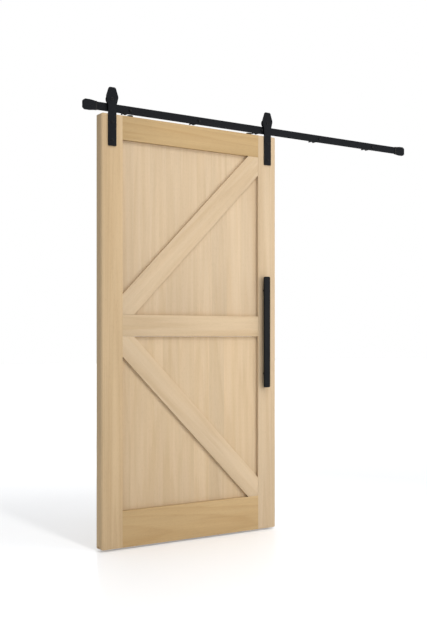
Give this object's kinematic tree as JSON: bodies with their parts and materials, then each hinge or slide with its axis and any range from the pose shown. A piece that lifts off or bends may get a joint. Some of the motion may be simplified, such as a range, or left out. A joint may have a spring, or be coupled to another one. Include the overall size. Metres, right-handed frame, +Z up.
{
  "type": "sliding barn door",
  "caption": "Timber barn door with diagonal bracing that rolls on grooved wheels along a flat wall track, with a long bar pull.",
  "frame": {"origin": "where the middle wall screw's axis meets the wall, at the middle of the track's length and height", "axes": "+X along the track to the right as seen from the room, +Y into the wall, +Z up"},
  "size_m": [2.144, 0.1405, 2.264],
  "materials": {
    "frame_timber": "raw, fine sanded",
    "panel_timber": "raw, fine sanded",
    "black_steel": "matte black powder coat",
    "bearing_steel": "ground",
    "cage_brass": "plain",
    "black_rubber": "matte"
  },
  "bodies": {
    "track": {"track_rail": "black_steel", "wall_spacers": "black_steel", "wall_screws": "black_steel", "left_end_stop": "black_steel", "right_end_stop": "black_steel", "end_stop_grub_screws": "black_steel", "left_stop_bumper": "black_rubber", "right_stop_bumper": "black_rubber"},
    "door_leaf": {"left_stile": "frame_timber", "right_stile": "frame_timber", "top_rail": "frame_timber", "middle_rail": "frame_timber", "bottom_rail": "frame_timber", "upper_panel": "panel_timber", "lower_panel": "panel_timber", "upper_front_brace": "frame_timber", "lower_front_brace": "frame_timber", "upper_back_brace": "frame_timber", "lower_back_brace": "frame_timber", "left_hanger_strap": "black_steel", "right_hanger_strap": "black_steel", "hanger_bolts": "black_steel", "hanger_sleeve_nuts": "black_steel", "axle_bolts": "black_steel", "axle_spacers": "bearing_steel", "bearing_inner_rings": "bearing_steel", "axle_washers": "bearing_steel", "axle_nuts": "black_steel", "anti_jump_discs": "black_steel", "anti_jump_screws": "black_steel", "pull_bar": "black_steel", "pull_posts": "black_steel", "pull_bolts": "black_steel"},
    "left_wheel_unit": {"left_wheel": "black_steel", "left_bearing_outer_ring": "bearing_steel", "left_bearing_seals": "black_rubber"},
    "right_wheel_unit": {"right_wheel": "black_steel", "right_bearing_outer_ring": "bearing_steel", "right_bearing_seals": "black_rubber"},
    "left_ball_set": {"left_bearing_cage": "cage_brass", "left_bearing_balls": "bearing_steel"},
    "right_ball_set": {"right_bearing_cage": "cage_brass", "right_bearing_balls": "bearing_steel"}
  },
  "joints": [
    {"name": "door_slide", "type": "slide", "parent": "track", "child": "door_leaf", "axis": [1, 0, 0], "range_m": [-0.06, 0.951]},
    {"name": "left_wheel_spin", "type": "hinge", "parent": "door_leaf", "child": "left_wheel_unit", "pos_m": [-0.9195, -0.056, 0.0403], "axis": [0, 1, 0], "continuous": true},
    {"name": "left_ball_set_spin", "type": "hinge", "parent": "door_leaf", "child": "left_ball_set", "pos_m": [-0.9195, -0.056, 0.0403], "axis": [0, 1, 0], "continuous": true},
    {"name": "right_wheel_spin", "type": "hinge", "parent": "door_leaf", "child": "right_wheel_unit", "pos_m": [0.0285, -0.056, 0.0403], "axis": [0, 1, 0], "continuous": true},
    {"name": "right_ball_set_spin", "type": "hinge", "parent": "door_leaf", "child": "right_ball_set", "pos_m": [0.0285, -0.056, 0.0403], "axis": [0, 1, 0], "continuous": true}
  ],
  "couplings": [
    {"joint": "left_wheel_spin", "follows": "door_slide", "rad_per_m": 50},
    {"joint": "left_ball_set_spin", "follows": "door_slide", "rad_per_m": 31.111},
    {"joint": "right_wheel_spin", "follows": "door_slide", "rad_per_m": 50},
    {"joint": "right_ball_set_spin", "follows": "door_slide", "rad_per_m": 31.111}
  ]
}
